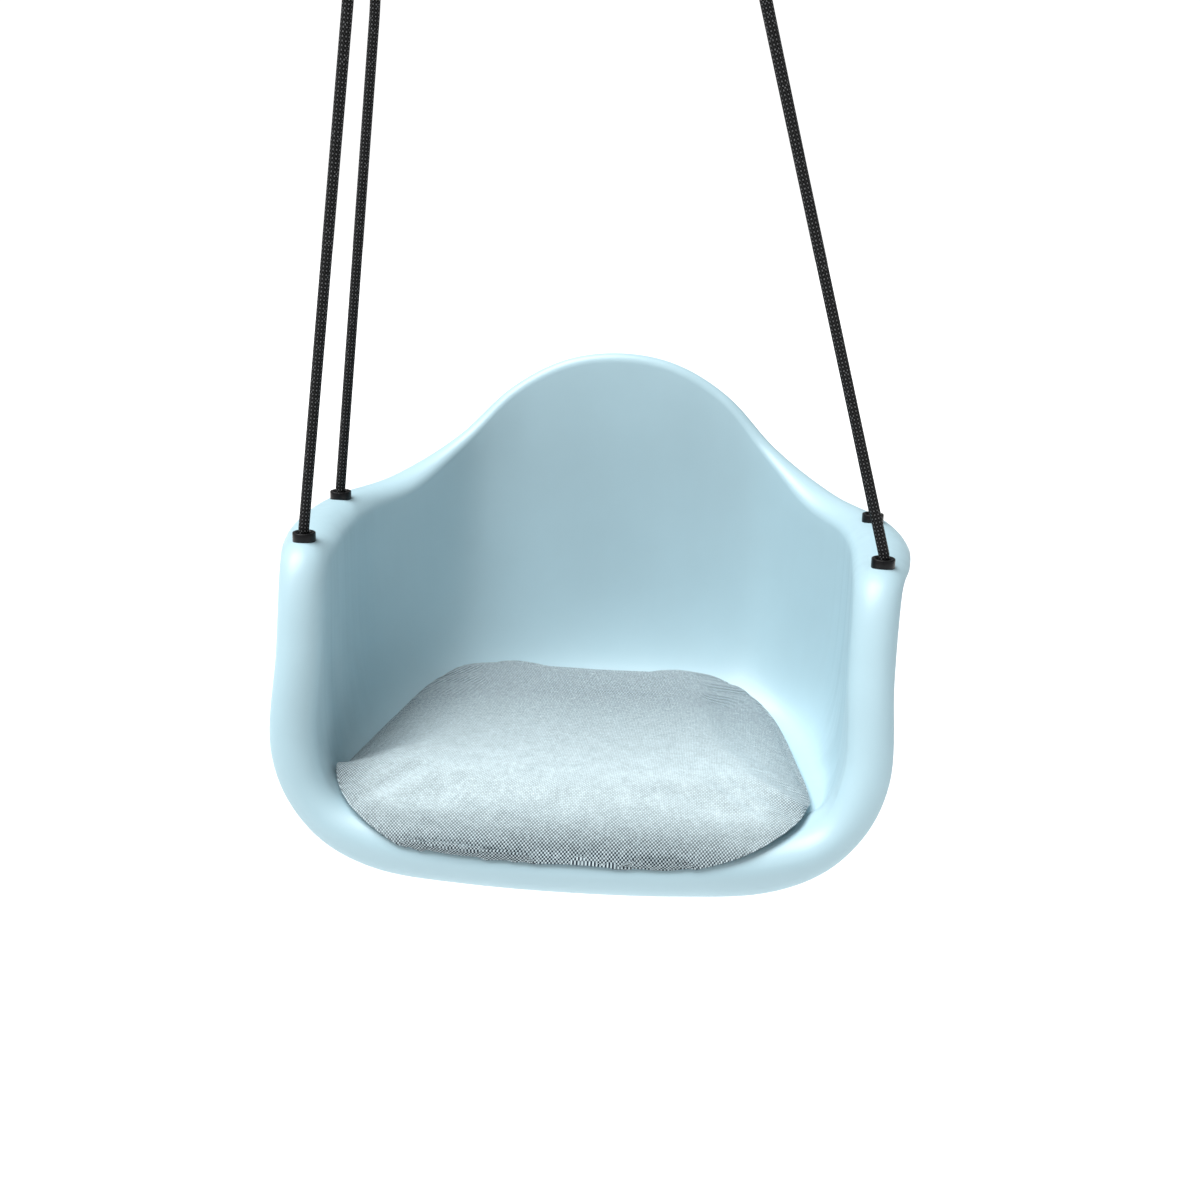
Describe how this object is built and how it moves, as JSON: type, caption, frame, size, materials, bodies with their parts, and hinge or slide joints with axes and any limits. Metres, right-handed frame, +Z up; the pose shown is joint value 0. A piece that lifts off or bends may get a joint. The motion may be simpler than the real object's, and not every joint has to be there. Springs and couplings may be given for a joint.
{
  "type": "rope swing seat",
  "caption": "Moulded armchair-shell swing seat with rolled rim and woven cushion, hung on ropes with thimble eyes and snap hooks.",
  "frame": {"origin": "bearing point inside the upper bend of the front left snap hook, where it hangs from its fixing", "axes": "+Z up, -Y towards the front of the seat, +X to the right as seen from the front"},
  "size_m": [0.606, 0.5052, 0.9243],
  "materials": {
    "shell_blue": "semi-gloss moulded",
    "cushion_weave": "two-tone hopsack weave",
    "cushion_foam": "open-cell foam",
    "cushion_backing": "plain backing cloth",
    "black_plastic": "satin",
    "rope_black": "braided, with grey flecks",
    "zinc_steel": "zinc plated",
    "black_steel": "black, satin"
  },
  "bodies": {
    "hooks": {"snap_hook_front_left": "zinc_steel", "gate_pin_front_left": "zinc_steel", "snap_hook_front_right": "zinc_steel", "gate_pin_front_right": "zinc_steel", "snap_hook_rear_left": "zinc_steel", "gate_pin_rear_left": "zinc_steel", "snap_hook_rear_right": "zinc_steel", "gate_pin_rear_right": "zinc_steel"},
    "line_front_left": {"rope_front_left": "rope_black", "thimble_front_left": "zinc_steel", "ferrule_front_left": "black_steel"},
    "line_front_right": {"rope_front_right": "rope_black", "thimble_front_right": "zinc_steel", "ferrule_front_right": "black_steel"},
    "line_rear_left": {"rope_rear_left": "rope_black", "thimble_rear_left": "zinc_steel", "ferrule_rear_left": "black_steel"},
    "line_rear_right": {"rope_rear_right": "rope_black", "thimble_rear_right": "zinc_steel", "ferrule_rear_right": "black_steel"},
    "seat": {"seat_shell": "shell_blue", "cushion_cover": "cushion_weave", "cushion_foam": "cushion_foam", "cushion_base": "cushion_backing", "bushing_front_left": "black_plastic", "washer_front_left": "zinc_steel", "lock_nut_front_left": "black_plastic", "stopper_knot_front_left": "rope_black", "bushing_front_right": "black_plastic", "washer_front_right": "zinc_steel", "lock_nut_front_right": "black_plastic", "stopper_knot_front_right": "rope_black", "bushing_rear_left": "black_plastic", "washer_rear_left": "zinc_steel", "lock_nut_rear_left": "black_plastic", "stopper_knot_rear_left": "rope_black", "bushing_rear_right": "black_plastic", "washer_rear_right": "zinc_steel", "lock_nut_rear_right": "black_plastic", "stopper_knot_rear_right": "rope_black"},
    "latch_front_left": {"gate_front_left": "zinc_steel"},
    "latch_front_right": {"gate_front_right": "zinc_steel"},
    "latch_rear_left": {"gate_rear_left": "zinc_steel"},
    "latch_rear_right": {"gate_rear_right": "zinc_steel"}
  },
  "joints": [
    {"name": "swing", "type": "hinge", "parent": "hooks", "child": "line_front_left", "pos_m": [-0.00691, 0, -0.0596], "axis": [1, 0, 0], "range_deg": [-35, 35]},
    {"name": "seat_level", "type": "hinge", "parent": "line_front_left", "child": "seat", "pos_m": [-0.07245, 0, -0.6246], "axis": [1, 0, 0], "range_deg": [-35, 35]},
    {"name": "swing_front_right", "type": "hinge", "parent": "hooks", "child": "line_front_right", "pos_m": [0.30196, 0, -0.05959], "axis": [1, 0, 0], "range_deg": [-35, 35]},
    {"name": "swing_rear_left", "type": "hinge", "parent": "hooks", "child": "line_rear_left", "pos_m": [-0.02108, 0.154, -0.05507], "axis": [1, 0, 0], "range_deg": [-35, 35]},
    {"name": "swing_rear_right", "type": "hinge", "parent": "hooks", "child": "line_rear_right", "pos_m": [0.30878, 0.154, -0.05508], "axis": [1, 0, 0], "range_deg": [-35, 35]},
    {"name": "gate_front_left_pivot", "type": "hinge", "parent": "hooks", "child": "latch_front_left", "pos_m": [0.01146, 0, -0.04009], "axis": [0, -1, 0], "range_deg": [0, 28], "stiffness_Nm_per_rad": 0.1, "springref_deg": -34.38},
    {"name": "gate_front_right_pivot", "type": "hinge", "parent": "hooks", "child": "latch_front_right", "pos_m": [0.31143, 0, -0.03452], "axis": [0, -1, 0], "range_deg": [0, 28], "stiffness_Nm_per_rad": 0.1, "springref_deg": -34.38},
    {"name": "gate_rear_left_pivot", "type": "hinge", "parent": "hooks", "child": "latch_rear_left", "pos_m": [-0.00306, 0.154, -0.03524], "axis": [0, -1, 0], "range_deg": [0, 28], "stiffness_Nm_per_rad": 0.1, "springref_deg": -34.38},
    {"name": "gate_rear_right_pivot", "type": "hinge", "parent": "hooks", "child": "latch_rear_right", "pos_m": [0.31837, 0.154, -0.03005], "axis": [0, -1, 0], "range_deg": [0, 28], "stiffness_Nm_per_rad": 0.1, "springref_deg": -34.38}
  ],
  "couplings": [
    {"joint": "seat_level", "follows": "swing", "ratio": -1},
    {"joint": "swing_front_right", "follows": "swing", "ratio": 1},
    {"joint": "swing_rear_left", "follows": "swing", "ratio": 1},
    {"joint": "swing_rear_right", "follows": "swing", "ratio": 1}
  ]
}
